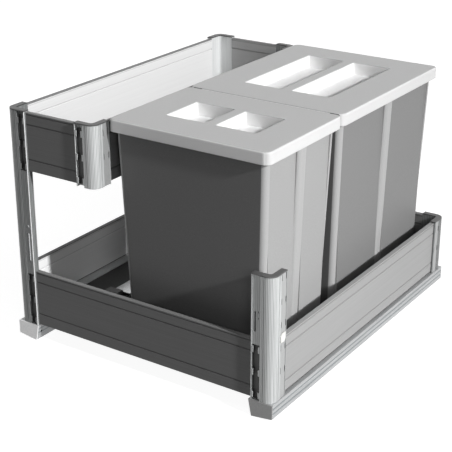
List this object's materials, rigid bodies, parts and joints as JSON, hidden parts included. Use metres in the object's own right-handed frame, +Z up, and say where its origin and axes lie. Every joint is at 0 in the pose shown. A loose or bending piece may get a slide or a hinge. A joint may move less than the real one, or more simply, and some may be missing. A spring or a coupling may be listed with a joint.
{
  "type": "pull-out waste bin unit",
  "caption": "Low pull-out frame on two floor runners with two lidded bins on its right and a shallow open tray held by tall posts on its left.",
  "frame": {"origin": "centre of the unit's footprint on the cabinet floor, drawer closed", "axes": "+Z up; +Y into the cabinet, so the drawer pulls out towards -Y; +X across the cabinet from the tray to the bins"},
  "size_m": [0.416, 0.495, 0.337],
  "materials": {
    "rail_steel": "satin",
    "galvanised_steel": "satin",
    "post_aluminium": "satin",
    "panel_coating": "satin",
    "board_melamine": "matte",
    "bin_plastic": "matte",
    "lid_plastic": "matte",
    "dark_plastic": "matte",
    "clip_nylon": "matte",
    "clip_grey": "matte",
    "white_nylon": "matte",
    "screw_steel": "polished"
  },
  "bodies": {
    "cabinet_side": {"cabinet_channel_left": "galvanised_steel", "cabinet_channel_right": "galvanised_steel", "cabinet_glides": "white_nylon"},
    "middle_left": {"middle_beam_left": "galvanised_steel", "middle_glides_left": "white_nylon"},
    "middle_right": {"middle_beam_right": "galvanised_steel", "middle_glides_right": "white_nylon"},
    "drawer": {"drawer_channel_left": "galvanised_steel", "drawer_rail_left": "rail_steel", "rail_end_plate_left": "rail_steel", "fixing_plate_left": "post_aluminium", "floor_edge_left": "post_aluminium", "tray_ledge_left": "post_aluminium", "drawer_channel_right": "galvanised_steel", "drawer_rail_right": "rail_steel", "rail_end_plate_right": "rail_steel", "fixing_plate_right": "post_aluminium", "floor_edge_right": "post_aluminium", "tray_ledge_right": "post_aluminium", "drawer_glides": "white_nylon", "post_front_left": "post_aluminium", "cap_front_left": "dark_plastic", "clips_front_left": "clip_nylon", "post_rear_left": "post_aluminium", "cap_rear_left": "dark_plastic", "clips_rear_left": "clip_nylon", "post_front_right": "post_aluminium", "cap_front_right": "dark_plastic", "clips_front_right": "clip_nylon", "post_rear_right": "post_aluminium", "cap_rear_right": "dark_plastic", "clips_rear_right": "clip_nylon", "post_tray_front": "post_aluminium", "cap_tray_front": "dark_plastic", "clips_tray_front": "clip_nylon", "post_tray_rear": "post_aluminium", "cap_tray_rear": "dark_plastic", "clips_tray_rear": "clip_nylon", "post_feet": "dark_plastic", "side_cover_strips": "post_aluminium", "clip_levers": "white_nylon", "post_foot_screws": "screw_steel", "base_panel_front": "panel_coating", "base_panel_rear": "panel_coating", "base_panel_left": "panel_coating", "base_panel_right": "panel_coating", "tray_panel_front": "panel_coating", "tray_panel_rear": "panel_coating", "tray_panel_left": "panel_coating", "tray_panel_right": "panel_coating", "floor_board": "board_melamine", "tray_floor": "board_melamine", "guide_rail": "post_aluminium", "guide_end_clips": "clip_grey"},
    "front_bin": {"front_bin": "bin_plastic"},
    "rear_bin": {"rear_bin": "bin_plastic"},
    "front_lid": {"front_lid": "lid_plastic"},
    "rear_lid": {"rear_lid": "lid_plastic"}
  },
  "joints": [
    {"name": "drawer_slide", "type": "slide", "parent": "cabinet_side", "child": "drawer", "axis": [0, -1, 0], "range_m": [0, 0.44]},
    {"name": "middle_left_slide", "type": "slide", "parent": "cabinet_side", "child": "middle_left", "axis": [0, -1, 0], "range_m": [0, 0.22]},
    {"name": "middle_right_slide", "type": "slide", "parent": "cabinet_side", "child": "middle_right", "axis": [0, -1, 0], "range_m": [0, 0.22]},
    {"name": "front_bin_lift", "type": "slide", "parent": "drawer", "child": "front_bin", "axis": [0, 0, 1], "range_m": [0, 0.32]},
    {"name": "rear_bin_lift", "type": "slide", "parent": "drawer", "child": "rear_bin", "axis": [0, 0, 1], "range_m": [0, 0.32]},
    {"name": "front_lid_lift", "type": "slide", "parent": "front_bin", "child": "front_lid", "axis": [0, 0, 1], "range_m": [0, 0.15]},
    {"name": "rear_lid_lift", "type": "slide", "parent": "rear_bin", "child": "rear_lid", "axis": [0, 0, 1], "range_m": [0, 0.15]}
  ],
  "couplings": [
    {"joint": "middle_left_slide", "follows": "drawer_slide", "ratio": 0.5},
    {"joint": "middle_right_slide", "follows": "drawer_slide", "ratio": 0.5}
  ]
}
